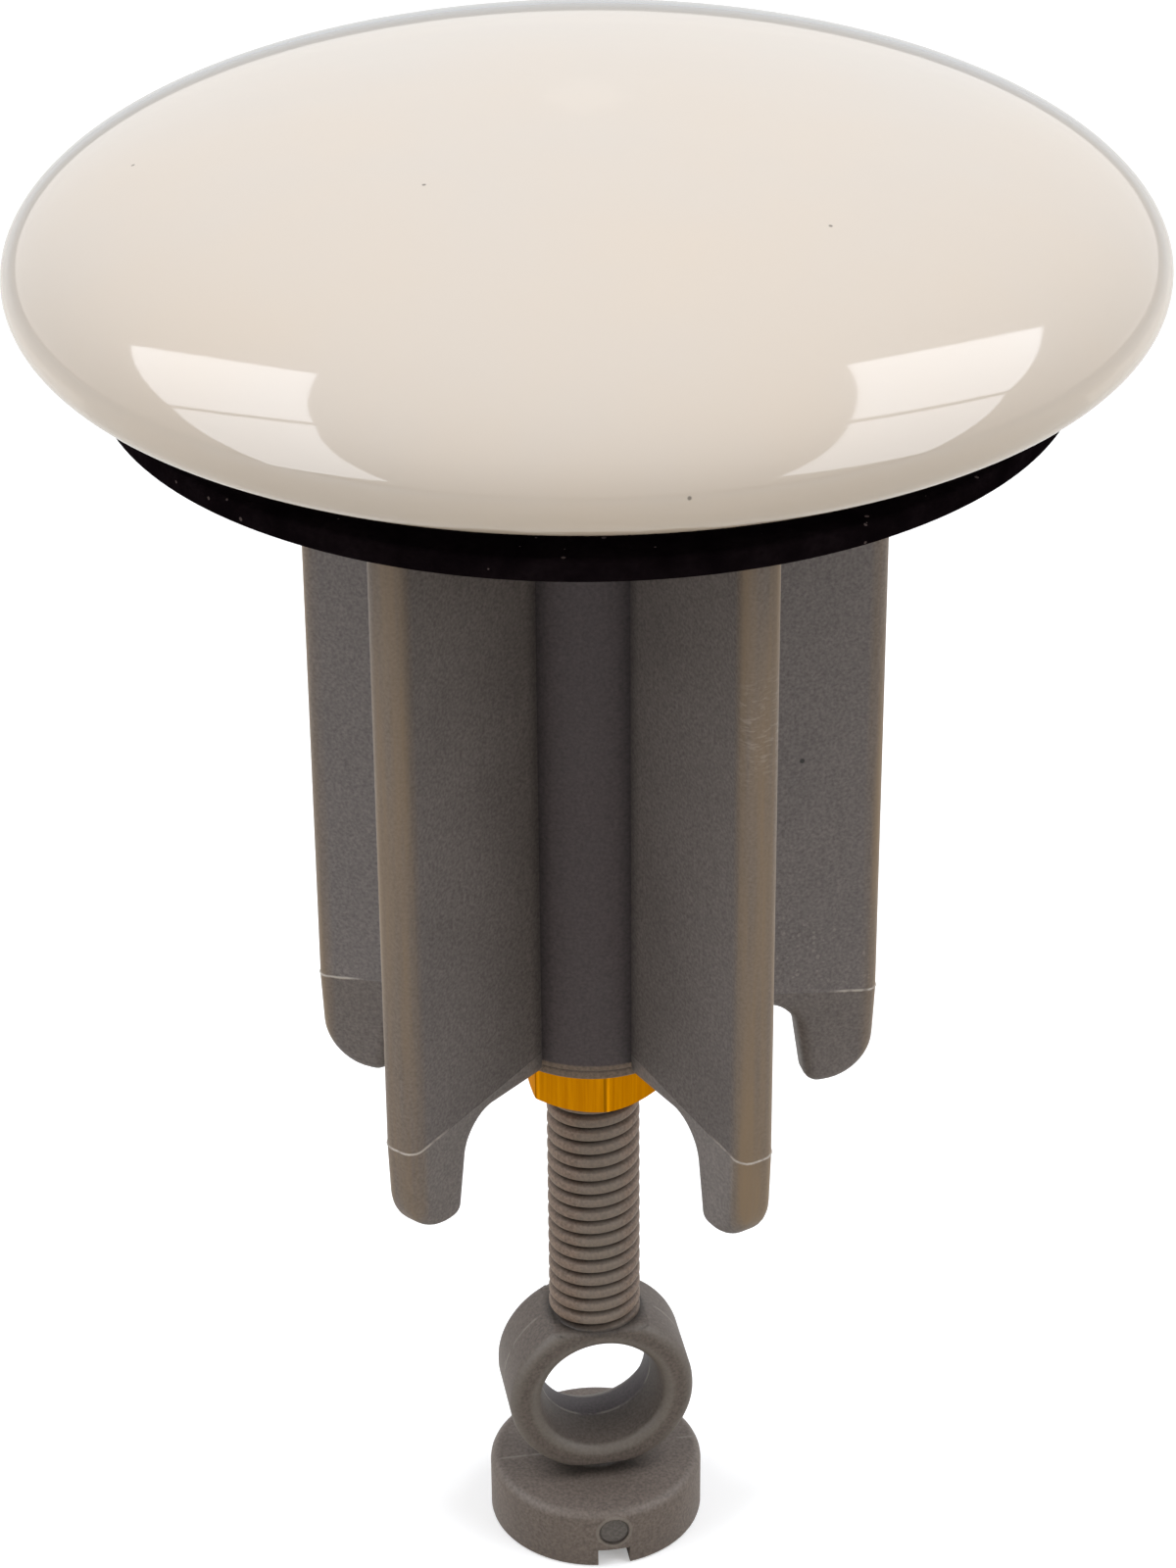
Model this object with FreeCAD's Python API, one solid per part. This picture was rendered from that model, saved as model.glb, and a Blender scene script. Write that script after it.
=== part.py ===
"""Pop-up drain stopper: enamelled cap, rubber seal, five-finned guide, and an eye bolt with its lock nut.

Millimetres, +Z up. The origin is on the stopper's axis, in the plane of the seal's underside, where it
meets the drain. The front of the stopper faces -Y.
"""
import FreeCAD, Part
import math
import os

Vector = FreeCAD.Vector
UP = Vector(0, 0, 1)

# Cap: a pressed brass shell, domed above its widest circle and rolled in below it
cap_diameter = 65.0
cap_middle_height = 6.6
cap_rise = 9.2
cap_roll_radius = 2.4
cap_wall = 0.8
cap_lip_width = 3.0

# Backing disc: the moulding crimped inside the shell, cored out between its ribs
disc_fit = 0.1
disc_floor = 2.0
disc_collar_gap = 3.5
disc_hub_diameter = 24.0
disc_rim_wall = 3.6
disc_rib_count = 6
disc_rib_thickness = 1.6

# Seal: a flat rubber ring with a rebate that the guide's flange sits in
seal_diameter = 55.3
seal_thickness = 1.35
seal_lip_thickness = 0.75
seal_width = 9.75
seal_edge_radius = 0.25
seal_fit = 0.1

# Guide: flange, core and fins in one moulding. The flange's rim lies inside the seal's by its inset
guide_depth = 44.6
flange_inset = 5.35
flange_thickness = 1.8
spigot_diameter = 18.0
spigot_height = 5.0
spigot_fit = 0.05
core_diameter = 12.8
core_nose_diameter = 12.3
core_nose_height = 0.75
fin_count = 5
fin_diameter = 36.2
fin_thickness = 2.5
fin_edge_radius = 1.0

# Foot of each fin, below the end of the core
foot_length = 6.2
foot_inner_diameter = 25.4
foot_inner_slant = 0.9
foot_outer_slant = 0.3
foot_outer_radius = 3.2
foot_inner_radius = 0.9
foot_arch_radius = 2.4

# Lock nut: low hexagon nut
nut_sides = 6
nut_across_flats = 8.0
nut_height = 3.8
nut_chamfer = 0.35
nut_turn = 14.0

# Eye bolt: threaded shank, flattened eye for the lift rod, and a slotted head
bolt_diameter = 5.8
bolt_clearance = 0.05
bolt_engagement = 20.6
bolt_end_chamfer = 0.6
bolt_adjust_in = 17.0
bolt_end_gap = 2.0
eye_depth = 71.1
eye_diameter = 11.9
eye_width = 6.0
eye_flat_height = 5.15
eye_foot_height = 5.3
eye_edge_radius = 0.7
eye_hole_diameter = 7.1
eye_mouth_diameter = 8.1
eye_rear_mouth_diameter = 8.5
eye_land = 1.4
eye_land_setback = 1.0
eye_turn = 13.4
neck_diameter = 4.0
head_diameter = 13.7
head_depth = 77.45
head_thickness = 4.25
head_edge_radius = 0.7
slot_width = 2.1
slot_depth = 1.3
gate_diameter = 1.9
gate_recess = 0.15
gate_drop = 1.55

# Every cut runs this far past the faces that it goes through
overrun = 1.0

# A rounded corner takes at most this share of the wall that it is on: the fin's sides, then the outer and
# the inner corner of a foot's width
round_limit_share = 0.45
heel_limit_share = 0.75
toe_limit_share = 0.22

# Two sizes or places count as the same within this share
match_share = 1e-4

# Radii and heights that follow from the sizes above
cap_radius = cap_diameter / 2
cap_lip_z = cap_middle_height - cap_roll_radius
cap_lip_outer = cap_radius - cap_roll_radius
cap_lip_inner = cap_lip_outer - cap_lip_width
seal_hole_diameter = seal_diameter - 2 * seal_width
flange_diameter = seal_diameter - 2 * flange_inset
flange_top_z = seal_thickness - seal_lip_thickness
flange_bottom_z = flange_top_z - flange_thickness
guide_end_z = -guide_depth
fin_tip_z = guide_end_z - foot_length
bolt_radius = bolt_diameter / 2
thread_bore_radius = bolt_radius + bolt_clearance
bolt_top_z = guide_end_z + bolt_engagement
eye_z = -eye_depth
head_top_z = -head_depth
head_bottom_z = head_top_z - head_thickness


def at(radius, height):
    """A point of a half section, in the XZ plane."""
    return Vector(radius, 0, height)


def line(start, end):
    return Part.LineSegment(start, end).toShape()


def polyline(points):
    return [line(a, b) for a, b in zip(points, points[1:])]


def lathe(edges):
    """The solid that a closed half section sweeps round the Z axis."""
    section = Part.Face(Part.Wire(Part.__sortEdges__(edges)))
    return section.revolve(Vector(), UP, 360)


def lathe_points(points):
    return lathe(polyline(points + points[:1]))


def facing(turn):
    """The direction turned this many degrees from the front towards +X."""
    angle = math.radians(turn)
    return Vector(math.sin(angle), -math.cos(angle), 0)


def laid_along(solid, direction, centre):
    """A copy of a solid made round the Z axis, with that axis laid along a direction."""
    laid = solid.copy()
    laid.Placement = FreeCAD.Placement(centre, FreeCAD.Rotation(UP, direction))
    return laid


def edges_where(solid, test):
    return [edge for edge in solid.Edges if test(edge)]


def is_circle_at(edge, height, radius):
    """Whether an edge is a circle of this radius, square to Z, at this height."""
    circle = edge.Curve
    return (
        isinstance(circle, Part.Circle)
        and math.isclose(circle.Radius, radius, rel_tol=match_share)
        and math.isclose(circle.Center.z, height, rel_tol=match_share)
    )


def cap_contour(inset):
    """The cap's dome and rolled edge, drawn in from the outside by an inset."""
    radius = cap_radius - inset
    rise = cap_rise - inset
    roll = cap_roll_radius - inset
    middle = at(0, cap_middle_height)
    roll_centre = at(cap_lip_outer, cap_middle_height)
    side = at(radius, cap_middle_height)
    dome = Part.Ellipse(side, at(0, cap_middle_height + rise), middle)
    half_way = roll_centre + at(roll, -roll).normalize() * roll
    bottom = roll_centre + at(0, -roll)
    return [
        Part.ArcOfEllipse(dome, 0, math.pi / 2).toBSpline().toShape(),
        Part.Arc(side, half_way, bottom).toShape(),
    ]


def cap_shell():
    inner_z = cap_lip_z + cap_wall
    lip = [
        at(cap_lip_outer, cap_lip_z),
        at(cap_lip_inner, cap_lip_z),
        at(cap_lip_inner, inner_z),
        at(cap_lip_outer, inner_z),
    ]
    top_z = cap_middle_height + cap_rise
    crown = line(at(0, top_z - cap_wall), at(0, top_z))
    return lathe(cap_contour(0) + polyline(lip) + cap_contour(cap_wall) + [crown])


def backing_disc():
    inset = cap_wall + disc_fit
    bottom_z = cap_lip_z + inset
    top_z = cap_middle_height + cap_rise - inset
    collar = cap_lip_inner - disc_collar_gap
    socket = spigot_diameter / 2 + spigot_fit
    socket_z = seal_thickness + spigot_height + disc_fit
    underside = [
        at(cap_lip_outer, bottom_z),
        at(collar, bottom_z),
        at(collar, seal_thickness),
        at(socket, seal_thickness),
        at(socket, socket_z),
        at(0, socket_z),
        at(0, top_z),
    ]
    disc = lathe(cap_contour(inset) + polyline(underside))
    floor_z = bottom_z + disc_floor
    hub, rim, roof_z = disc_hub_diameter / 2, cap_radius - inset - disc_rim_wall, top_z + overrun
    pockets = lathe_points([at(hub, floor_z), at(rim, floor_z), at(rim, roof_z), at(hub, roof_z)])
    for number in range(disc_rib_count):
        rib = Part.makeBox(rim + overrun, disc_rib_thickness, roof_z - floor_z)
        rib.translate(Vector(0, -disc_rib_thickness / 2, floor_z))
        rib.rotate(Vector(), UP, number * 360 / disc_rib_count)
        pockets = pockets.cut(rib)
    return disc.cut(pockets)


def seal_ring():
    hole, outer = seal_hole_diameter / 2, seal_diameter / 2
    rebate = flange_diameter / 2 + seal_fit
    ring = lathe_points(
        [
            at(hole, flange_top_z),
            at(rebate, flange_top_z),
            at(rebate, 0),
            at(outer, 0),
            at(outer, seal_thickness),
            at(hole, seal_thickness),
        ]
    )
    rim = edges_where(ring, lambda edge: is_circle_at(edge, seal_thickness, outer))
    return ring.makeFillet(seal_edge_radius, rim)


def fin():
    """One fin, pointing along +X, from inside the core and the flange down to its foot."""
    root = (thread_bore_radius + core_diameter / 2) / 2
    outer, inner = fin_diameter / 2, foot_inner_diameter / 2
    top_z = (flange_top_z + flange_bottom_z) / 2
    heel = at(outer - foot_outer_slant, fin_tip_z)
    toe = at(inner + foot_inner_slant, fin_tip_z)
    arch = at(inner, guide_end_z)
    outline = [at(root, top_z), at(outer, top_z), at(outer, guide_end_z)]
    outline += [heel, toe, arch, at(root, guide_end_z)]
    plate = Part.Face(Part.Wire(polyline(outline + outline[:1])))
    plate = plate.extrude(Vector(0, fin_thickness, 0))
    plate.translate(Vector(0, -fin_thickness / 2, 0))
    width = heel.x - toe.x
    rounds = (
        (heel, min(foot_outer_radius, width * heel_limit_share)),
        (toe, min(foot_inner_radius, width * toe_limit_share)),
        (arch, min(foot_arch_radius, foot_length * round_limit_share)),
    )
    for corner, radius in rounds:
        plate = plate.makeFillet(radius, edges_where(plate, lambda edge: crosses_at(edge, corner)))
    rims = edges_where(plate, lambda edge: runs_along_side(edge, root, top_z))
    return plate.makeFillet(min(fin_edge_radius, fin_thickness * round_limit_share), rims)


def crosses_at(edge, corner):
    """Whether an edge runs straight through the fin's thickness at a corner of its outline."""
    return edge.CenterOfMass.isEqual(corner, fin_thickness * match_share)


def runs_along_side(edge, root, top_z):
    """Whether an edge lies in a side of the fin, on the part of the outline that stands free."""
    middle = edge.CenterOfMass
    in_side = math.isclose(abs(middle.y), fin_thickness / 2, rel_tol=match_share)
    at_root = math.isclose(middle.x, root, rel_tol=match_share)
    at_top = math.isclose(middle.z, top_z, rel_tol=match_share)
    return in_side and not at_root and not at_top


def guide_body():
    spigot, shoulder = spigot_diameter / 2, seal_hole_diameter / 2 - seal_fit
    flange, core, nose = flange_diameter / 2, core_diameter / 2, core_nose_diameter / 2
    nose_z = guide_end_z + core_nose_height
    bore_z = bolt_top_z + bolt_adjust_in + bolt_end_gap
    body = lathe_points(
        [
            at(0, seal_thickness + spigot_height),
            at(spigot, seal_thickness + spigot_height),
            at(spigot, seal_thickness),
            at(shoulder, seal_thickness),
            at(shoulder, flange_top_z),
            at(flange, flange_top_z),
            at(flange, flange_bottom_z),
            at(core, flange_bottom_z),
            at(core, nose_z),
            at(nose, nose_z),
            at(nose, guide_end_z),
            at(thread_bore_radius, guide_end_z),
            at(thread_bore_radius, bore_z),
            at(0, bore_z),
        ]
    )
    half_gap = 180 / fin_count
    for number in range(fin_count):
        blade = laid_along(fin(), UP, Vector())
        blade.rotate(Vector(), UP, half_gap * (2 * number + 1) - 90)
        body = body.fuse(blade)
    return body.removeSplitter()


def lock_nut():
    flat = nut_across_flats / 2
    corner = flat / math.cos(math.pi / nut_sides)
    top_z = guide_end_z
    bottom_z = top_z - nut_height
    corners = [facing(nut_turn + number * 360 / nut_sides) * corner for number in range(nut_sides + 1)]
    prism = Part.Face(Part.makePolygon(corners)).extrude(UP * nut_height)
    prism.translate(UP * bottom_z)
    turned = lathe_points(
        [
            at(thread_bore_radius, bottom_z),
            at(flat, bottom_z),
            at(corner, bottom_z + nut_chamfer),
            at(corner, top_z - nut_chamfer),
            at(flat, top_z),
            at(thread_bore_radius, top_z),
        ]
    )
    return prism.common(turned)


def eye_cutter():
    """The eye's hole, round the Z axis with its front up: a short straight land that flares to both mouths."""
    land, mouth, rear_mouth = eye_hole_diameter / 2, eye_mouth_diameter / 2, eye_rear_mouth_diameter / 2
    half_land, half_width = eye_land / 2, eye_width / 2
    return lathe_points(
        [
            at(0, -half_width - overrun),
            at(rear_mouth, -half_width - overrun),
            at(rear_mouth, -half_width),
            at(land, -eye_land_setback - half_land),
            at(land, -eye_land_setback + half_land),
            at(mouth, half_width),
            at(mouth, half_width + overrun),
            at(0, half_width + overrun),
        ]
    )


def eye():
    """The ring round the hole, cut flat at its top under the shank and at its foot over the head."""
    radius = eye_diameter / 2
    ring = Part.makeCylinder(radius, eye_width, at(0, -eye_width / 2))
    ends = edges_where(ring, lambda edge: isinstance(edge.Curve, Part.Circle))
    ring = laid_along(ring.makeFillet(eye_edge_radius, ends), facing(eye_turn), UP * eye_z)
    above = Part.makeBox(eye_diameter, eye_diameter, radius)
    above.translate(Vector(-radius, -radius, eye_z + eye_flat_height))
    below = Part.makeBox(eye_diameter, eye_diameter, radius)
    below.translate(Vector(-radius, -radius, eye_z - eye_foot_height - radius))
    return ring.cut([above, below])


def head():
    radius = head_diameter / 2
    disc = Part.makeCylinder(radius, head_thickness, at(0, head_bottom_z))
    rim = edges_where(disc, lambda edge: is_circle_at(edge, head_top_z, radius))
    return disc.makeFillet(head_edge_radius, rim)


def eye_bolt():
    forward = facing(eye_turn)
    head_radius = head_diameter / 2
    shank = Part.makeCylinder(bolt_radius, bolt_top_z - eye_z, at(0, eye_z))
    tip = edges_where(shank, lambda edge: is_circle_at(edge, bolt_top_z, bolt_radius))
    shank = shank.makeChamfer(bolt_end_chamfer, tip)
    neck_z = head_bottom_z + slot_depth
    neck = Part.makeCylinder(neck_diameter / 2, eye_z - neck_z, at(0, neck_z))
    bolt = shank.fuse([eye(), neck, head()])
    bolt = bolt.cut(laid_along(eye_cutter(), forward, UP * eye_z))
    slot = Part.makeBox(slot_width, head_diameter + overrun, slot_depth + overrun)
    slot.translate(Vector(-slot_width / 2, -(head_diameter + overrun) / 2, head_bottom_z - overrun))
    slot.rotate(Vector(), UP, eye_turn)
    gate = Part.makeCylinder(gate_diameter / 2, overrun)
    gate_place = forward * (head_radius - gate_recess) + UP * (head_top_z - gate_drop)
    return bolt.cut([slot, laid_along(gate, forward, gate_place)]).removeSplitter()


os.makedirs("parts", exist_ok=True)
for piece in (cap_shell, backing_disc, seal_ring, guide_body, lock_nut, eye_bolt):
    solid = piece()
    solid.exportStep(f"parts/{piece.__name__}.step")
    print(piece.__name__, solid.isValid(), len(solid.Solids), round(solid.Volume, 1))
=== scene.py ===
"""A pop-up drain stopper, dressed round its CAD frame: enamelled cap, rubber seal, finned guide, brass lock
nut and threaded eye bolt, on a pale floor between two soft light panels.

The file is laid out as an add-on: the settings hold the sizes and colours, each operator builds a piece, and
main() runs them all. Lengths are in metres, +Z is up and the front of the stopper faces -Y.
"""
import math

import bmesh
import bpy
from bpy.props import FloatProperty, FloatVectorProperty, PointerProperty
from mathutils import Matrix, Vector


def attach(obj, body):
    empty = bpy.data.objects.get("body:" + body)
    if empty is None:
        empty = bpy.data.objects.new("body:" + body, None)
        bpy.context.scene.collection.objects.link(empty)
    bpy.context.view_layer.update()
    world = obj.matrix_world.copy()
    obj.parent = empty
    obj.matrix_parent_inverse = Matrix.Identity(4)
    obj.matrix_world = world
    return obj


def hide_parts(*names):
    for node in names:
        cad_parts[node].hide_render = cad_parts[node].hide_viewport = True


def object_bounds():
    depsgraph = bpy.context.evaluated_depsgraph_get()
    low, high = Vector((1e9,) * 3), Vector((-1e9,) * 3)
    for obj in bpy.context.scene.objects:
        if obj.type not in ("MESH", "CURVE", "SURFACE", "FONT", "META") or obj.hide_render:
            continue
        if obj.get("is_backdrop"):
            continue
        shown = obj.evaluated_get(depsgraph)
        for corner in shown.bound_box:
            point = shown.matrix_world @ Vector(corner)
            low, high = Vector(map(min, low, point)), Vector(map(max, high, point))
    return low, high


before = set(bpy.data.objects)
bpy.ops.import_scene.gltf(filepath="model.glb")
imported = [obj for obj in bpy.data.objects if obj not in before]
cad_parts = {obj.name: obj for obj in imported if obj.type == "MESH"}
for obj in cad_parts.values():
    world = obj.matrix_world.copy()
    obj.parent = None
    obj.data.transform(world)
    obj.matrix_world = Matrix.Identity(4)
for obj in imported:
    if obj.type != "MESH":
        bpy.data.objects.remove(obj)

bl_info = {
    "name": "Drain stopper",
    "version": (1, 0, 0),
    "blender": (4, 5, 0),
    "location": "View3D > Sidebar > Stopper",
    "description": "Builds a pop-up drain stopper round its CAD frame",
    "category": "Add Mesh",
}

MM = 0.001
FULL_TURN = 2 * math.pi
QUARTER_TURN = FULL_TURN / 4
ORIGIN = (0.0, 0.0, 0.0)
UP = (0.0, 0.0, 1.0)
WHITE = (1.0, 1.0, 1.0, 1.0)
BLACK = (0.0, 0.0, 0.0, 1.0)
FIN_COUNT = 5
POCKET_COUNT = 6
NUT_SIDES = 6

# How near, in metres, points count as one point, or as lying in a cutting plane
MERGE = 1e-6
IN_PLANE = 1e-8

CAD_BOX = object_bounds()
STOPPER, NUT, BOLT = "stopper_body", "lock_nut", "eye_bolt"


def length(name, description, millimetres):
    """A size in the settings, in metres, with its default written in millimetres."""
    return FloatProperty(
        name=name, description=description, default=millimetres * MM, unit="LENGTH", precision=5
    )


def colour(name, description, value):
    return FloatVectorProperty(
        name=name, description=description, default=value, size=3, subtype="COLOR", min=0.0, max=1.0
    )


def angle(name, description, degrees):
    return FloatProperty(name=name, description=description, default=math.radians(degrees), subtype="ANGLE")


def number(name, description, value):
    return FloatProperty(name=name, description=description, default=value)


class CapSettings(bpy.types.PropertyGroup):
    """Sizes and enamel of the cap, and the insert behind it."""

    radius: length("Radius", "Half the widest circle of the cap", 32.5)
    middle: length("Middle height", "Height of the widest circle over the seal's underside", 6.6)
    rise: length("Rise", "Height of the dome over the widest circle", 9.2)
    roll: length("Roll radius", "Radius of the edge rolled in under the widest circle", 2.4)
    wall: length("Wall", "Thickness of the pressed shell", 0.8)
    lip: length("Lip width", "Width of the flat lip under the shell", 3.0)
    lip_edge: length("Lip edge", "Rounding of the lip's inner edge", 0.2)
    fit: length("Insert fit", "Room between the shell and the insert", 0.1)
    collar: length("Collar gap", "Room between the shell's lip and the insert's collar", 3.5)
    socket: length("Socket fit", "Room between the insert's socket and the guide's spigot", 0.05)
    floor: length("Insert floor", "Thickness of the insert under its pockets", 2.0)
    hub: length("Hub radius", "Radius of the insert's solid middle", 12.0)
    rim: length("Rim wall", "Width of the insert outside its pockets", 3.6)
    enamel: colour("Enamel", "Colour of the enamel", (0.683, 0.607, 0.528))
    enamel_warm: colour("Warm enamel", "Colour of the warmer patches in the enamel", (0.701, 0.607, 0.510))
    insert: colour("Insert", "Colour of the insert's plastic", (0.03, 0.03, 0.03))


class SealSettings(bpy.types.PropertyGroup):
    """Sizes and rubber of the seal."""

    radius: length("Radius", "Outer radius of the ring", 27.65)
    thickness: length("Thickness", "Thickness of the ring", 1.35)
    lip: length("Lip thickness", "Thickness of the ring inside its rebate", 0.75)
    hole: length("Hole radius", "Radius of the ring's hole", 17.9)
    rebate: length("Rebate radius", "Radius of the step that the guide's flange sits in", 22.4)
    edge: length("Edge radius", "Rounding of the outer rim", 0.22)
    rubber: colour("Rubber", "Colour of the rubber", (0.0040, 0.0026, 0.0036))
    bloom: colour("Bloom", "Colour of the greyer patches on the rubber", (0.0125, 0.0088, 0.0108))
    dust: colour("Dust", "Colour of the dust specks", (0.10, 0.08, 0.08))


class GuideSettings(bpy.types.PropertyGroup):
    """Sizes and plastic of the finned guide."""

    depth: length("Depth", "Depth of the core below the seal's underside", 44.6)
    flange: length("Flange radius", "Radius of the flange that holds the seal", 22.3)
    flange_low: length("Flange underside", "Depth of the flange's underside", 1.2)
    flange_edge: length("Flange edge", "Rounding of the flange's lower rim", 0.3)
    shoulder: length("Shoulder radius", "Radius of the step inside the seal's hole", 17.8)
    spigot: length("Spigot radius", "Radius of the spigot in the insert", 9.0)
    spigot_top: length("Spigot top", "Height of the spigot's end", 6.35)
    core: length("Core radius", "Radius of the core between the fins", 6.4)
    nose: length("Nose radius", "Radius of the core's end", 6.15)
    nose_height: length("Nose height", "Height of the core's end", 0.75)
    core_edge: length("Core edge", "Rounding of the edges at the core's end", 0.12)
    bore: length("Bore radius", "Radius of the threaded bore", 2.95)
    bore_top: length("Bore depth", "Depth of the bore's blind end", 5.0)
    fin: length("Fin radius", "Radius over the fins", 18.1)
    fin_thickness: length("Fin thickness", "Thickness of a fin", 2.5)
    fin_edge: length("Fin edge radius", "Rounding of the fins' edges", 0.88)
    foot: length("Foot length", "Length of a foot below the core", 6.2)
    foot_inner: length("Foot radius", "Radius of the inner face of the feet", 12.7)
    foot_inner_slant: length("Inner slant", "Slant of a foot's inner face", 0.9)
    foot_outer_slant: length("Outer slant", "Slant of a foot's outer face", 0.3)
    heel: length("Heel radius", "Rounding of a foot's outer corner", 3.2)
    toe: length("Toe radius", "Rounding of a foot's inner corner", 0.95)
    arch: length("Arch radius", "Rounding between a foot and the core's end", 2.4)
    flash: length("Mould line", "Height of the mould line that runs round the feet", 0.06)
    flash_rise: length("Mould line rise", "Height of the mould line over the core's end at a fin's edge", 0.28)
    flash_slope: number("Mould line slope", "Rise of the mould line towards the core", 0.12)
    plastic: colour("Plastic", "Colour of the moulding", (0.164, 0.144, 0.137))
    worn_and_lit: colour("Worn plastic", "Colour of the fins' rubbed edges", (0.262, 0.188, 0.118))
    pale: colour("Pale marks", "Colour of the mould line and of scratches", (0.56, 0.51, 0.46))


class NutSettings(bpy.types.PropertyGroup):
    """Sizes and brass of the lock nut."""

    flat: length("Flat", "Half the width across the flats", 4.0)
    height: length("Height", "Height of the nut", 3.8)
    chamfer: length("Chamfer", "Height of the turned chamfer", 0.35)
    corner: length("Corner width", "Width of the broken corners", 0.16)
    turn: angle("Turn", "Turn of a corner from the front", 14.0)
    brass: colour("Brass", "Colour of the brass", (0.57, 0.222, 0.0013))
    brass_dark: colour("Dark brass", "Colour of the drawn lines in the brass", (0.481, 0.173, 0.001))


class BoltSettings(bpy.types.PropertyGroup):
    """Sizes and plastic of the eye bolt."""

    radius: length("Thread radius", "Radius over the thread", 2.9)
    groove: length("Groove depth", "Depth of the thread's groove", 0.6)
    pitch: length("Pitch", "Rise of the thread in one turn", 1.0)
    top: length("Thread end", "Depth of the shank's end in the guide", 24.0)
    chamfer: length("End chamfer", "Chamfer on the shank's end", 0.6)
    eye: length("Eye depth", "Depth of the eye's centre", 71.1)
    eye_radius: length("Eye radius", "Outer radius of the eye", 5.95)
    eye_width: length("Eye width", "Width of the eye along its hole", 6.0)
    eye_flat: length("Eye flat", "Height of the eye's flat top over its centre", 5.15)
    eye_foot: length("Eye foot", "Depth of the eye's flat foot under its centre", 5.3)
    eye_edge: length("Eye edge", "Rounding of the eye's outer edges", 0.7)
    flat_edge: length("Flat edge", "Rounding of the edges of the eye's flat top", 0.2)
    hole: length("Hole radius", "Radius of the eye's hole", 3.55)
    mouth: length("Mouth radius", "Radius of the hole's front mouth", 4.05)
    rear_mouth: length("Rear mouth radius", "Radius of the hole's rear mouth", 4.25)
    mouth_edge: length("Mouth edge", "Rounding of the hole's mouths", 0.5)
    land: length("Land", "Length of the hole's straight part", 1.4)
    land_setback: length("Land setback", "Distance of the straight part behind the eye's middle", 1.0)
    turn: angle("Turn", "Turn of the eye's hole from the front", 13.4)
    neck: length("Neck radius", "Radius of the neck between eye and head", 2.0)
    head_radius: length("Head radius", "Radius of the head", 6.85)
    neck_edge: length("Neck edge", "Rounding between neck and head", 0.3)
    head_top: length("Head depth", "Depth of the head's upper face", 77.45)
    head: length("Head thickness", "Thickness of the head", 4.25)
    head_edge: length("Head edge", "Rounding of the head's upper edge", 0.7)
    head_low_edge: length("Head low edge", "Rounding of the head's lower edge", 0.2)
    slot: length("Slot width", "Width of the driver slot", 2.1)
    slot_depth: length("Slot depth", "Depth of the driver slot", 1.3)
    gate: length("Gate mark", "Radius of the moulding's gate mark", 0.95)
    gate_drop: length("Gate drop", "Depth of the gate mark below the head's upper face", 1.55)
    gate_recess: length("Gate recess", "Depth of the gate mark", 0.15)
    plastic: colour("Plastic", "Colour of the moulding", (0.138, 0.112, 0.096))
    # This pale colour also paints the highlights on the eye's and head's edges
    pale: colour("Pale plastic", "Colour of the parting line", (0.26, 0.235, 0.205))


class StageSettings(bpy.types.PropertyGroup):
    """Floor, light and camera."""

    floor: colour("Floor", "Colour of the floor", (0.93, 0.93, 0.93))
    floor_bounce: colour("Floor bounce", "Colour of the floor as it lights dull pieces", (0.43, 0.387, 0.316))
    floor_shine: colour("Floor shine", "Colour of the near floor in glossy pieces", (0.84, 0.82, 0.78))
    floor_far: colour("Far floor", "Colour of the far floor in glossy pieces", (0.80, 0.88, 0.95))
    floor_lift: number("Floor lift", "Light added to the floor as the camera sees it", 0.28)
    sky: number("Surround light", "Strength of the light from above", 0.5)
    sky_low: number("Low light", "Strength of the light from lower down, all round", 0.34)
    sky_front: number("Front shade", "Strength taken from the light that comes low from the front", 0.3)
    panel: number("Panel light", "Brightness of the side panels' rear panes", 4.2)
    panel_far: length("Panel distance", "Distance of the side panels from the axis", 600.0)
    lens: number("Lens", "Focal length in millimetres on a sensor 36 mm high", 99.954)
    azimuth: angle("Camera azimuth", "Camera's turn from the front towards +X", 3.53)
    pitch: angle("Camera pitch", "Camera's downward tilt", 29.743)
    roll: angle("Camera roll", "Camera's turn about its own axis", -0.435)
    yaw: angle("Camera yaw", "Camera's small turn to the side", 0.034)
    distance: length("Camera distance", "Distance of the camera from its target", 259.55)
    target: length("Camera target", "Height of the camera's target on the axis", -27.56)


class StopperSettings(bpy.types.PropertyGroup):
    """All the settings of the stopper."""

    cap: PointerProperty(type=CapSettings, name="Cap", description="Cap and insert")
    seal: PointerProperty(type=SealSettings, name="Seal", description="Rubber seal")
    guide: PointerProperty(type=GuideSettings, name="Guide", description="Finned guide")
    nut: PointerProperty(type=NutSettings, name="Lock nut", description="Brass lock nut")
    bolt: PointerProperty(type=BoltSettings, name="Eye bolt", description="Threaded eye bolt")
    stage: PointerProperty(type=StageSettings, name="Stage", description="Floor, light and camera")


# Shader helpers and the effects that several finishes share


def add(tree, kind, sockets=None, **settings):
    """A shader node with its settings, and its sockets given a value or linked from another socket."""
    node = tree.nodes.new(kind)
    for key, value in settings.items():
        setattr(node, key, value)
    for key, value in (sockets or {}).items():
        if isinstance(value, bpy.types.NodeSocket):
            tree.links.new(value, node.inputs[key])
        else:
            node.inputs[key].default_value = value
    return node


def ramp(tree, value, low, high, start=0.0, end=1.0):
    """A value carried from one range to another, and kept inside it."""
    sockets = {"Value": value, "From Min": low, "From Max": high, "To Min": start, "To Max": end}
    return add(tree, "ShaderNodeMapRange", sockets).outputs["Result"]


def fall(tree, value, low, high):
    """1 up to one value, falling to 0 at another."""
    return ramp(tree, value, low, high, 1.0, 0.0)


def spread(tree, share, start, end):
    """A share between 0 and 1 carried to another range."""
    return ramp(tree, share, 0.0, 1.0, start, end)


def maths(tree, operation, first, second=0.0):
    return add(tree, "ShaderNodeMath", {0: first, 1: second}, operation=operation).outputs[0]


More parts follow.
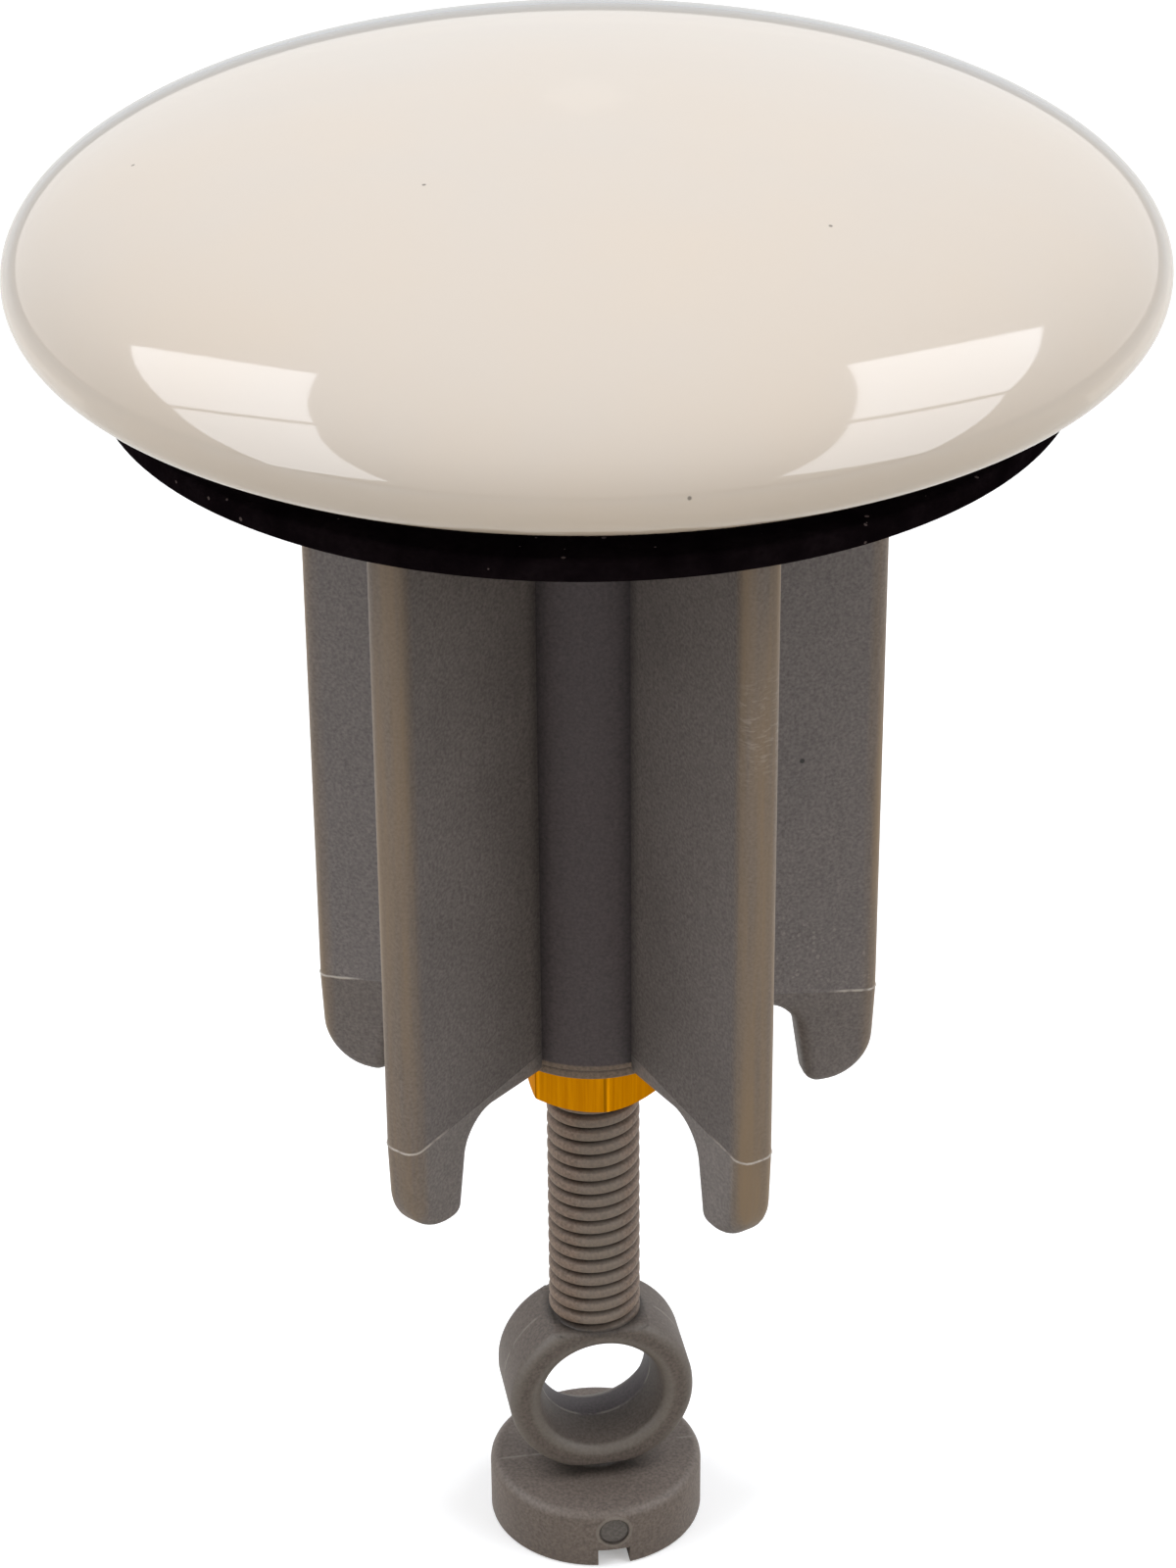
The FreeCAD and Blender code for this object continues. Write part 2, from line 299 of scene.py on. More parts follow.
def mixed(tree, share, first, second):
    """Two colours mixed by a share that changes over the surface."""
    return add(tree, "ShaderNodeMix", {0: share, 6: first, 7: second}, data_type="RGBA").outputs[2]


def blend(tree, share, first, second):
    """Two values mixed by a share that changes over the surface."""
    return add(tree, "ShaderNodeMix", {0: share, 2: first, 3: second}).outputs[0]


def scaled(tree, tone, share):
    """A colour made lighter or darker by a share that changes over the surface."""
    return add(tree, "ShaderNodeVectorMath", {0: tone, "Scale": share}, operation="SCALE").outputs["Vector"]


def tinted(tree, tone, tint):
    return add(tree, "ShaderNodeVectorMath", {0: tone, 1: tint}, operation="MULTIPLY").outputs["Vector"]


def band(tree, value, middle, full, none):
    """1 where a value is within one distance of a middle, falling to 0 at another distance."""
    away = maths(tree, "ABSOLUTE", maths(tree, "SUBTRACT", value, middle))
    return fall(tree, away, full, none)


def folded(tree, operation, values):
    """Several values taken together, one after another."""
    result = values[0]
    for value in values[1:]:
        result = maths(tree, operation, result, value)
    return result


def both(tree, *masks):
    """The product of several masks."""
    return folded(tree, "MULTIPLY", masks)


def either(tree, *masks):
    """The strongest of several masks."""
    return folded(tree, "MAXIMUM", masks)


def paint(value):
    """A settings colour as a shader colour."""
    return (*value, 1.0)


def effect(name, inputs, outputs):
    """An empty shader node group, with its input and output nodes."""
    group = bpy.data.node_groups.new(name, "ShaderNodeTree")
    for label, kind, value in inputs:
        socket = group.interface.new_socket(label, in_out="INPUT", socket_type=kind)
        if value is not None:
            socket.default_value = value
    for label in outputs:
        group.interface.new_socket(label, in_out="OUTPUT", socket_type="NodeSocketFloat")
    return group, group.nodes.new("NodeGroupInput"), group.nodes.new("NodeGroupOutput")


def specks_effect():
    """Scattered round specks: a few of the cells of a Voronoi pattern carry one."""
    inputs = [
        ("Vector", "NodeSocketVector", None),
        ("Scale", "NodeSocketFloat", 300.0),
        ("Size", "NodeSocketFloat", 0.1),
        ("Share", "NodeSocketFloat", 0.3),
    ]
    group, entry, leave = effect("Specks", inputs, ["Mask"])
    cells = add(
        group, "ShaderNodeTexVoronoi", {"Vector": entry.outputs["Vector"], "Scale": entry.outputs["Scale"]}
    )
    chance = add(group, "ShaderNodeSeparateColor", {"Color": cells.outputs["Color"]})
    chosen = maths(group, "LESS_THAN", chance.outputs["Red"], entry.outputs["Share"])
    width = maths(group, "MULTIPLY", entry.outputs["Size"], chance.outputs["Green"])
    inside = maths(group, "LESS_THAN", cells.outputs["Distance"], width)
    group.links.new(maths(group, "MULTIPLY", chosen, inside), leave.inputs["Mask"])
    return group


def grain_effect():
    """Fine grain of a moulded surface, with slow clouds in its tone."""
    inputs = [
        ("Vector", "NodeSocketVector", None),
        ("Grain", "NodeSocketFloat", 3000.0),
        ("Clouds", "NodeSocketFloat", 120.0),
    ]
    group, entry, leave = effect("Moulded grain", inputs, ["Grain", "Clouds"])
    for label, detail in (("Grain", 4.0), ("Clouds", 3.0)):
        sockets = {"Vector": entry.outputs["Vector"], "Scale": entry.outputs[label], "Detail": detail}
        noise = add(group, "ShaderNodeTexNoise", sockets)
        group.links.new(ramp(group, noise.outputs["Fac"], 0.3, 0.7), leave.inputs[label])
    return group


def axis_effect():
    """Distance from the stopper's axis and height in millimetres, and turn from the front in degrees."""
    outputs = ["Radius", "Height", "Turn"]
    group, entry, leave = effect("Round the axis", [("Vector", "NodeSocketVector", None)], outputs)
    parts = add(group, "ShaderNodeSeparateXYZ", {"Vector": entry.outputs["Vector"]})
    flat = add(group, "ShaderNodeCombineXYZ", {"X": parts.outputs["X"], "Y": parts.outputs["Y"]})
    far = add(group, "ShaderNodeVectorMath", {0: flat.outputs["Vector"]}, operation="LENGTH")
    front = maths(group, "MULTIPLY", parts.outputs["Y"], -1.0)
    turn = maths(group, "DEGREES", maths(group, "ARCTAN2", parts.outputs["X"], front))
    group.links.new(maths(group, "MULTIPLY", far.outputs["Value"], 1 / MM), leave.inputs["Radius"])
    group.links.new(maths(group, "MULTIPLY", parts.outputs["Z"], 1 / MM), leave.inputs["Height"])
    group.links.new(turn, leave.inputs["Turn"])
    return group


def streak_effect():
    """Noise drawn out along an axis, as fine streaks or scratches."""
    inputs = [
        ("Vector", "NodeSocketVector", None),
        ("Stretch", "NodeSocketVector", (1.0, 1.0, 1.0)),
        ("Slope", "NodeSocketVector", ORIGIN),
    ]
    group, entry, leave = effect("Streaks", inputs, ["Streak"])
    sockets = {
        "Vector": entry.outputs["Vector"],
        "Scale": entry.outputs["Stretch"],
        "Rotation": entry.outputs["Slope"],
    }
    drawn = add(group, "ShaderNodeMapping", sockets)
    noise = add(group, "ShaderNodeTexNoise", {"Vector": drawn.outputs["Vector"], "Scale": 1.0, "Detail": 3.0})
    group.links.new(noise.outputs["Fac"], leave.inputs["Streak"])
    return group


EFFECTS = {
    "Specks": specks_effect,
    "Moulded grain": grain_effect,
    "Round the axis": axis_effect,
    "Streaks": streak_effect,
}


def placed(tree, name, place, **sockets):
    """A shared effect placed in a finish, built when it is first asked for."""
    group = bpy.data.node_groups.get(name) or EFFECTS[name]()
    inputs = {"Vector": place} | {key.title(): value for key, value in sockets.items()}
    return add(tree, "ShaderNodeGroup", inputs, node_tree=group)


def streaks(tree, place, *stretch, slope=ORIGIN):
    """Noise stretched by three factors: streaks along the axis with the smallest one."""
    return placed(tree, "Streaks", place, stretch=stretch, slope=slope).outputs["Streak"]


def finish(name, **constants):
    """A new material with its shader, its node tree and its Object coordinates."""
    material = bpy.data.materials.new(name)
    material.use_nodes = True
    tree = material.node_tree
    shader = tree.nodes["Principled BSDF"]
    for key, value in constants.items():
        shader.inputs[key.replace("_", " ")].default_value = value
    place = tree.nodes.new("ShaderNodeTexCoord").outputs["Object"]
    return material, tree, shader, place


def link(tree, shader, **sockets):
    for key, socket in sockets.items():
        tree.links.new(socket, shader.inputs[key.replace("_", " ")])


def bumped(tree, shader, height, strength, distance):
    bump = add(tree, "ShaderNodeBump", {"Strength": strength, "Distance": distance, "Height": height})
    tree.links.new(bump.outputs["Normal"], shader.inputs["Normal"])


def spotted(tree, tone, place, spot, radii, share, dark):
    """A colour with one round dark spot. Its place, its full radius and its faded radius are in millimetres."""
    point = tuple(part * MM for part in spot)
    away = add(tree, "ShaderNodeVectorMath", {0: place, 1: point}, operation="DISTANCE").outputs["Value"]
    full, faded = radii
    return mixed(tree, ramp(tree, away, full * MM, faded * MM, share, 0.0), tone, dark)


# Specks baked into the enamel, and a fleck on the right rear fin: places along X, Y and Z in millimetres
ENAMEL_SPECKS = (
    (-24.66, -3.01, 12.53),
    (-7.86, -11.18, 14.95),
    (13.57, -13.65, 14.01),
    (6.95, -31.72, 6.95),
)
FLECK = (12.56, 2.77, -27.22)
SPECK_TONE = (0.16, 0.13, 0.10, 1.0)
FLECK_TONE = (0.012, 0.010, 0.009, 1.0)

# What a moulding's tone is multiplied by, partly for its own tones and partly for painted light and shade
# The core: partly its own cooler tone, partly painted shade
CORE_TINT_AND_SHADE = (0.475, 0.437, 0.50)
NOSE_TINT = (1.45, 1.26, 1.06)
# The thread: the tint under its painted crest highlights and root shade
THREAD_PAINTED_LIGHT_TINT = (1.03, 0.92, 0.82)
# The eye's hole: cool painted shade
HOLE_SHADE_TINT = (0.8, 0.78, 1.0)
GATE_TINT = (0.78, 0.86, 0.92)

# Marks on the fins: turn from the front in degrees, and height in millimetres
SCRATCHED_TURN, SCRATCHED_HEIGHT = 36.0, -15.5
DUSTED_TURN, DUSTED_HEIGHT = 104.0, -41.0

# Where tones change, from and to: the turns in degrees from the middle of a gap between fins, and the others in
# millimetres
# The core's heights and the corner turns are where its painted shade changes
CORE_SHADE_HEIGHTS = (-40.0, -10.0)
CORNER_SHADE_TURNS = (17.0, 24.5)
LINE_RADII = (14.7, 16.0)
GATE_FRONT = (-6.2, -6.0)

# Tone of the brass at grazing angles
BRASS_GRAZE = (1.0, 0.62, 0.08, 1.0)


def enamel_finish(cap):
    """Glossy cream enamel with faint clouds and a few pinhead specks."""
    material, tree, shader, place = finish(
        "Cream enamel", IOR=1.52, Coat_Weight=0.35, Coat_IOR=1.5, Coat_Roughness=0.03
    )
    grain = placed(tree, "Moulded grain", place, grain=900.0, clouds=70.0)
    tone = mixed(tree, grain.outputs["Clouds"], paint(cap.enamel), paint(cap.enamel_warm))
    for speck in ENAMEL_SPECKS:
        tone = spotted(tree, tone, place, speck, (0.07, 0.14), 0.85, SPECK_TONE)
    link(tree, shader, Base_Color=tone, Roughness=spread(tree, grain.outputs["Clouds"], 0.04, 0.07))
    bumped(tree, shader, grain.outputs["Grain"], 0.02, 0.05 * MM)
    return material


def rubber_finish(seal):
    """Black rubber, dull and mottled, with a few pale specks of dust."""
    material, tree, shader, place = finish("Black rubber", Specular_IOR_Level=0.0)
    grain = placed(tree, "Moulded grain", place, grain=2600.0, clouds=420.0)
    mottle = both(tree, grain.outputs["Clouds"], spread(tree, grain.outputs["Grain"], 0.4, 1.0))
    tone = mixed(tree, mottle, paint(seal.rubber), paint(seal.bloom))
    specks = placed(tree, "Specks", place, scale=2600.0, size=0.4, share=0.05)
    tone = mixed(tree, specks.outputs["Mask"], tone, paint(seal.dust))
    rough = spread(tree, grain.outputs["Clouds"], 0.8, 0.95)
    link(tree, shader, Base_Color=tone, Roughness=rough)
    bumped(tree, shader, grain.outputs["Grain"], 0.35, 0.04 * MM)
    return material


def moulding(name, plastic):
    """A satin moulding, still without its own marks: its shader parts, its coordinates and its tone."""
    material, tree, shader, place = finish(name, IOR=1.4)
    grain = placed(tree, "Moulded grain", place, grain=5200.0, clouds=170.0)
    tone = mixed(tree, grain.outputs["Clouds"], paint(plastic * 0.94), paint(plastic * 1.06))
    tone = scaled(tree, tone, spread(tree, grain.outputs["Grain"], 0.7, 1.3))
    rough = spread(tree, grain.outputs["Clouds"], 0.44, 0.56)
    link(tree, shader, Roughness=rough)
    bumped(tree, shader, grain.outputs["Grain"], 0.2, 0.02 * MM)
    return material, tree, shader, place, tone


def insert_finish(cap):
    """Dark plastic of the insert, out of sight behind the cap."""
    material, tree, shader, _, tone = moulding("Dark insert plastic", cap.insert)
    link(tree, shader, Base_Color=tone)
    return material


def guide_finish(guide):
    """Grey plastic: dark on the core, partly painted shade, brown on the fins' rubbed edges, with the mould's
    line round the feet.
    """
    material, tree, shader, place, tone = moulding("Grey guide plastic", guide.plastic)
    around = placed(tree, "Round the axis", place).outputs
    tone = core_toned_and_shaded(tree, tone, around, guide)
    tone = edge_rubbed(tree, tone, place, around, guide)
    tone = mould_lined(tree, tone, place, around, guide)
    tone = fin_marked(tree, tone, place, around, guide)
    link(tree, shader, Base_Color=tone)
    return material


def core_toned_and_shaded(tree, tone, around, guide):
    """The core is darker and cooler than the fins, partly its own tone and partly painted shade, deeper in the
    corners beside them.
    """
    core, nose = guide.core / MM, (guide.nose_height - guide.depth) / MM
    fold = maths(tree, "PINGPONG", around["Turn"], 180.0 / FIN_COUNT)
    # The core's darker, cooler tone: partly its own, partly painted shade
    cool = tinted(tree, tone, CORE_TINT_AND_SHADE)
    # Painted shade: the core is darker towards the cap and lighter lower down
    cool = scaled(tree, cool, ramp(tree, around["Height"], *CORE_SHADE_HEIGHTS, 1.12, 1.0))
    # Painted shade in the core's corners beside the fins
    cool = scaled(tree, cool, ramp(tree, fold, *CORNER_SHADE_TURNS, 1.0, 0.5))
    # The nose is lighter and warmer, with a darker band under its upper edge
    nose_tone = tinted(tree, tone, NOSE_TINT)
    nose_tone = scaled(tree, nose_tone, blend(tree, band(tree, around["Height"], nose - 0.12, 0.08, 0.2), 1.0, 0.6))
    own = mixed(tree, ramp(tree, around["Height"], nose + 0.3, nose + 0.42), nose_tone, cool)
    # Painted shade on the fins beside the core
    fins = scaled(tree, tone, ramp(tree, around["Radius"], core, core + 0.9, 0.5, 1.0))
    return mixed(tree, ramp(tree, around["Radius"], core + 0.02, core + 0.06), own, fins)


def over_line(tree, around, guide):
    """Height over the mould's line, in millimetres."""
    inwards = maths(tree, "SUBTRACT", guide.fin / MM, around["Radius"])
    rise = maths(tree, "MULTIPLY", inwards, guide.flash_slope)
    line = maths(tree, "ADD", rise, (guide.flash_rise - guide.depth) / MM)
    return maths(tree, "SUBTRACT", around["Height"], line)


def edge_rubbed(tree, tone, place, around, guide):
    """Brown streaks along the outer edges of the fins, stronger below the mould's line."""
    fin = guide.fin / MM
    streak = streaks(tree, place, 1100.0, 1100.0, 45.0)
    share = both(
        tree,
        ramp(tree, around["Radius"], fin - 1.3, fin - 0.35),
        ramp(tree, streak, 0.32, 0.66, 0.25, 1.0),
        ramp(tree, over_line(tree, around, guide), -0.1, 0.1, 1.0, 0.9),
    )
    return mixed(tree, share, tone, paint(guide.worn_and_lit))


def mould_lined(tree, tone, place, around, guide):
    """The pale line that the mould left round the feet: a little uneven, and fading towards the core."""
    uneven = streaks(tree, place, 1400.0, 1400.0, 1400.0)
    level = maths(tree, "ADD", over_line(tree, around, guide), ramp(tree, uneven, 0.3, 0.7, -0.03, 0.03))
    share = both(
        tree,
        band(tree, level, 0.0, 0.05, 0.12),
        ramp(tree, around["Radius"], *LINE_RADII, 0.0, 0.9),
        ramp(tree, uneven, 0.36, 0.5, 0.35, 1.0),
    )
    return mixed(tree, share, tone, paint(guide.pale))


def fin_marked(tree, tone, place, around, guide):
    """Scratches on the right front fin's edge, and a dark fleck and pale grains on the right rear fin."""
    fin = guide.fin / MM
    lines = streaks(tree, place, 1500.0, 1500.0, 5200.0, slope=(0.45, 0.3, 0.0))
    scratched = both(
        tree,
        ramp(tree, lines, 0.52, 0.66, 0.0, 0.22),
        band(tree, around["Turn"], SCRATCHED_TURN, 3.5, 6.0),
        band(tree, around["Height"], SCRATCHED_HEIGHT, 2.0, 4.0),
        ramp(tree, around["Radius"], fin - 1.2, fin - 0.6),
    )
    tone = mixed(tree, scratched, tone, paint(guide.pale))
    grains = placed(tree, "Specks", place, scale=3200.0, size=0.45, share=0.3).outputs["Mask"]
    dusted = both(
        tree,
        grains,
        band(tree, around["Turn"], DUSTED_TURN, 8.0, 11.0),
        band(tree, around["Height"], DUSTED_HEIGHT, 1.5, 4.5),
        0.16,
    )
    tone = mixed(tree, dusted, tone, paint(guide.pale))
    return spotted(tree, tone, place, FLECK, (0.12, 0.2), 0.9, FLECK_TONE)


def bolt_finish(bolt):
    """Grey plastic with painted light and shade on thread, hole, edges and head, a parting line and the gate
    mark's outline.
    """
    material, tree, shader, place, tone = moulding("Grey bolt plastic", bolt.plastic)
    around = placed(tree, "Round the axis", place).outputs
    sockets = {"Vector": place, "Rotation": (0.0, 0.0, -bolt.turn), "Scale": (1 / MM, 1 / MM, 1 / MM)}
    turned = add(tree, "ShaderNodeMapping", sockets).outputs["Vector"]
    parts = add(tree, "ShaderNodeSeparateXYZ", {"Vector": turned}).outputs
    tone = thread_painted_light(tree, tone, around, bolt)
    tone = hole_painted_shade(tree, tone, parts, bolt)
    tone = painted_edge_highlights(tree, tone, around, parts, bolt)
    tone = crease_painted_shade(tree, tone, parts, bolt)
    tone = head_marked(tree, tone, place, parts, bolt)
    link(tree, shader, Base_Color=tone)
    return material


def across(tree, parts, height):
    """Distance from a line along the eye's hole at this height, in millimetres."""
    up = maths(tree, "SUBTRACT", parts["Z"], height)
    flat = add(tree, "ShaderNodeCombineXYZ", {"X": parts["X"], "Y": up})
    return add(tree, "ShaderNodeVectorMath", {0: flat.outputs["Vector"]}, operation="LENGTH").outputs["Value"]


def thread_painted_light(tree, tone, around, bolt):
    """The thread's crests carry a painted highlight and its roots painted shade."""
    crest, root = bolt.radius / MM, (bolt.radius - bolt.groove) / MM
    flat = (bolt.eye_flat - bolt.eye) / MM
    # Painted highlight on the crests and painted shade in the roots
    shade = ramp(tree, around["Radius"], root + 0.14, crest - 0.04, 0.2, 1.76)
    worn_and_lit = scaled(tree, tinted(tree, tone, THREAD_PAINTED_LIGHT_TINT), shade)
    tone = mixed(tree, ramp(tree, around["Height"], flat, flat + 0.2), tone, worn_and_lit)
    # Painted shade in the crevice where the thread meets the eye's flat
    under = fall(tree, around["Radius"], crest, crest + 0.5)
    foot = both(tree, band(tree, around["Height"], flat, 0.12, 0.5), under)
    return scaled(tree, tone, blend(tree, foot, 1.0, 0.4))


def hole_painted_shade(tree, tone, parts, bolt):
    """The eye's hole darkens towards its straight part, which is darkest and cool: painted shade."""
    hole, mouth = bolt.hole / MM, bolt.mouth / MM
    away = across(tree, parts, -bolt.eye / MM)
    # Painted shade deepening into the hole
    tone = scaled(tree, tone, ramp(tree, away, hole + 0.06, mouth, 0.62, 1.0))
    # Cooler painted shade on the hole's straight part
    straight = fall(tree, away, hole + 0.03, hole + 0.08)
    return mixed(tree, straight, tone, tinted(tree, tone, HOLE_SHADE_TINT))


def painted_edge_highlights(tree, tone, around, parts, bolt):
    """The rounded edges of the eye, of its mouths and of the head carry a painted highlight, a little paler
    than the faces.
    """
    away = across(tree, parts, -bolt.eye / MM)
    half, outer, mouth = bolt.eye_width / 2 / MM, bolt.eye_radius / MM, bolt.mouth / MM
    aside = maths(tree, "ABSOLUTE", parts["Y"])
    ring = both(tree, ramp(tree, away, outer - 0.75, outer - 0.25), ramp(tree, aside, half - 0.7, half - 0.3))
    ring = both(tree, ring, ramp(tree, parts["Z"], -(bolt.eye + bolt.eye_foot) / MM, -bolt.eye / MM - 4.5))
    rim = both(tree, band(tree, away, mouth + 0.2, 0.25, 0.55), ramp(tree, aside, half - 0.5, half - 0.2))
    top, head, edge = -bolt.head_top / MM, bolt.head_radius / MM, bolt.head_edge / MM
    brow = both(
        tree,
        ramp(tree, around["Radius"], head - 0.7 * edge, head - 0.25 * edge),
        band(tree, around["Height"], top - 0.3 * edge, 0.2 * edge, 0.55 * edge),
    )
    share = either(tree, ring, rim, both(tree, brow, 0.3))
    # Painted highlights in the parting line's pale colour
    return mixed(tree, both(tree, share, 0.45), tone, paint(bolt.pale))


def crease_painted_shade(tree, tone, parts, bolt):
    """The narrow gap between the eye's foot and the head is painted dark: painted shade."""
    foot = -(bolt.eye + bolt.eye_foot) / MM
    half = bolt.eye_width / 2 / MM
    aside = maths(tree, "ABSOLUTE", parts["X"])
    along = maths(tree, "ABSOLUTE", parts["Y"])
    deep = both(
        tree,
        band(tree, parts["Z"], (foot - bolt.head_top / MM) / 2, 0.6, 0.85),
        fall(tree, aside, 2.0, 4.6),
        fall(tree, along, half - 0.7, half + 0.15),
    )
    return scaled(tree, tone, blend(tree, deep, 1.0, 0.4))


def head_marked(tree, tone, place, parts, bolt):
    """The parting line through eye and head, and the dark outline and grey middle of the gate mark."""
    top, flat = -bolt.head_top / MM, (bolt.eye_flat - bolt.eye) / MM
    # Painted light and shade: the head is painted lighter and the eye and shank darker
    tone = scaled(tree, tone, ramp(tree, parts["Z"], top - 0.2, top + 0.2, 1.12, 0.84))
    uneven = streaks(tree, place, 900.0, 900.0, 900.0)
    parting = both(
        tree,
        band(tree, parts["Y"], 0.0, 0.05, 0.12),
        ramp(tree, parts["Z"], flat - 0.6, flat - 0.3, 0.6, 0.0),
        ramp(tree, uneven, 0.4, 0.55),
    )
    tone = mixed(tree, parting, tone, paint(bolt.pale))
    gate = bolt.gate / MM
    away = across(tree, parts, -(bolt.head_top + bolt.gate_drop) / MM)
    front = fall(tree, parts["Y"], *GATE_FRONT)
    inside = both(tree, front, fall(tree, away, gate - 0.05, gate))
    tone = mixed(tree, inside, tone, tinted(tree, tone, GATE_TINT))
    rim = both(tree, front, band(tree, away, gate - 0.02, 0.04, 0.1))
    tone = scaled(tree, tone, blend(tree, rim, 1.0, 0.5))
    halo = both(tree, front, band(tree, away, gate + 0.15, 0.05, 0.14), 0.45)
    return mixed(tree, halo, tone, paint(bolt.pale))


def brass_finish(nut):
    """Bright brass with the lines of the drawn bar along the nut's axis, and painted shade and highlight lines
    at the corners.
    """
    material, tree, shader, place = finish("Brass", Metallic=1.0, Specular_Tint=BRASS_GRAZE)
    lines = ramp(tree, streaks(tree, place, 5200.0, 5200.0, 160.0), 0.35, 0.68)
    tone = mixed(tree, lines, paint(nut.brass_dark), paint(nut.brass))
    around = placed(tree, "Round the axis", place).outputs
    turn = maths(tree, "SUBTRACT", around["Turn"], math.degrees(nut.turn))
    half_side = 180.0 / NUT_SIDES
    corner = add(tree, "ShaderNodeMath", {0: turn, 1: half_side, 2: -half_side}, operation="WRAP").outputs[0]
    # Painted shade and a painted highlight line beside each corner
    shade = blend(tree, band(tree, corner, -1.2, 0.7, 1.5), 1.0, 0.55)
    shade = blend(tree, band(tree, corner, 1.6, 0.7, 1.6), shade, 1.35)
    rough = spread(tree, lines, 0.40, 0.29)
    link(tree, shader, Base_Color=scaled(tree, tone, shade), Roughness=rough)
    bumped(tree, shader, lines, 0.25, 0.02 * MM)
    return material


# Modelling helpers


def near(value, wanted):
    return abs(value - wanted) < MERGE


def vertex(bm, radius, height):
    """A point of a half section, in the XZ plane."""
    return bm.verts.new((radius, 0.0, height))


def path(bm, points, start=None):
    """A wire through half-section points, carried on from a vertex if one is given."""
    last = start or vertex(bm, *points[0])
    for radius, height in points if start else points[1:]:
        step = bmesh.ops.extrude_vert_indiv(bm, verts=[last])
        last = step["verts"][0]
        last.co = (radius, 0.0, height)
    return last


def arc(bm, start, centre, turn, steps):
    """A wire arc in the half section, turned from a vertex about a centre. It ends in the vertex returned."""
    swept = bmesh.ops.spin(
        bm, geom=[start], cent=(centre[0], 0.0, centre[1]), axis=(0.0, 1.0, 0.0), angle=turn, steps=steps
    )
    return next(item for item in swept["geom_last"] if isinstance(item, bmesh.types.BMVert))


def cleaned(bm):
    """Merges what meets and turns the faces outwards."""
    bmesh.ops.remove_doubles(bm, verts=bm.verts, dist=MERGE)
    bmesh.ops.dissolve_degenerate(bm, edges=bm.edges, dist=MERGE)
    bmesh.ops.recalc_face_normals(bm, faces=bm.faces)


def spun(bm, steps):
    """Spins the half section once round the axis."""
    section = bm.verts[:] + bm.edges[:]
    bmesh.ops.spin(bm, geom=section, cent=ORIGIN, axis=UP, angle=FULL_TURN, steps=steps, use_merge=True)
    cleaned(bm)


def whole(bm):
    return bm.verts[:] + bm.edges[:] + bm.faces[:]


def points_of(made):
    """The vertices among what an operator made."""
    return [item for item in made["geom"] if isinstance(item, bmesh.types.BMVert)]


def raised(bm, height, points=None):
    """Moves a shape, or some of its points, up or down."""
    bmesh.ops.translate(bm, vec=(0.0, 0.0, height), verts=points or bm.verts)


def rotated(bm, *turns):
    """Turns a shape about the origin. Each turn is an axis and an angle, and the last one comes first."""
    matrix = Matrix.Identity(3)
    for axis, turn in turns:
        matrix = matrix @ Matrix.Rotation(turn, 3, axis)
    bmesh.ops.rotate(bm, cent=ORIGIN, matrix=matrix, verts=bm.verts)


def trimmed(bm, height, facing):
    """Cuts off what lies beyond a level plane and closes the cut. The edges of the cut are returned."""
    cut = bmesh.ops.bisect_plane(
        bm,
        geom=whole(bm),
        dist=IN_PLANE,
        plane_co=(0.0, 0.0, height),
        plane_no=(0.0, 0.0, facing),
        clear_outer=True,
    )
    ends = [item for item in cut["geom_cut"] if isinstance(item, bmesh.types.BMEdge)]
    bmesh.ops.holes_fill(bm, edges=ends, sides=0)
    return ends


def rounded(bm, edges, width, segments):
    bmesh.ops.bevel(
        bm,
        geom=edges,
        offset=width,
        offset_type="OFFSET",
        segments=segments,
        profile=0.5,
        affect="EDGES",
        material=-1,
    )


def ring_edges(bm, radius, height):
    """The edges of a circle round the axis."""
    return [
        edge
        for edge in bm.edges
        if all(near(end.co.z, height) and near(end.co.xy.length, radius) for end in edge.verts)
    ]


def round_ring(bm, radius, height, width, segments):
    """Rounds the edge along a circle round the axis."""
    rounded(bm, ring_edges(bm, radius, height), width, segments)


def loose(name, bm):
    """A mesh as an object that other shapes are joined to or cut from."""
    mesh = bpy.data.meshes.new(name)
    bm.to_mesh(mesh)
    bm.free()
    piece = bpy.data.objects.new(name, mesh)
    bpy.context.scene.collection.objects.link(piece)
    return piece


def combined(base, others, operation):
    """The base shape joined with others, cut by them or kept only inside them. The others are used up."""
    for other in others:
        boolean = base.modifiers.new(operation.title(), "BOOLEAN")
        boolean.operation = operation
        boolean.solver = "EXACT"
        boolean.object = other
    shape = base.evaluated_get(bpy.context.evaluated_depsgraph_get())
    mesh = bpy.data.meshes.new_from_object(shape)
    base.modifiers.clear()
    old, base.data = base.data, mesh
    bpy.data.meshes.remove(old)
    for other in others:
        spare = other.data
        bpy.data.objects.remove(other)
        bpy.data.meshes.remove(spare)
    return base


def dressed(piece, material, body, node, crease=32.0):
    """Smooths a finished piece, gives it its material and puts it in the place of its CAD node."""
    piece.data.materials.clear()
    piece.data.materials.append(material)
    piece.data.shade_smooth()
    piece.data.set_sharp_from_angle(angle=math.radians(crease))
    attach(piece, body)
    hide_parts(node)


def dome_wire(bm, cap, inset, steps):
    """The cap's dome and rolled edge, drawn in by an inset. The vertex at its lower end is returned."""
    side = vertex(bm, cap.radius - inset, 0.0)
    before = set(bm.verts)
    arc(bm, side, (0.0, 0.0), -QUARTER_TURN, steps)
    dome = [side] + [point for point in bm.verts if point not in before]
    flatten = (cap.rise - inset) / (cap.radius - inset)
    bmesh.ops.scale(bm, vec=(1.0, 1.0, flatten), verts=dome)
    raised(bm, cap.middle, dome)
    return arc(bm, side, (cap.radius - cap.roll, cap.middle), QUARTER_TURN, steps // 5)


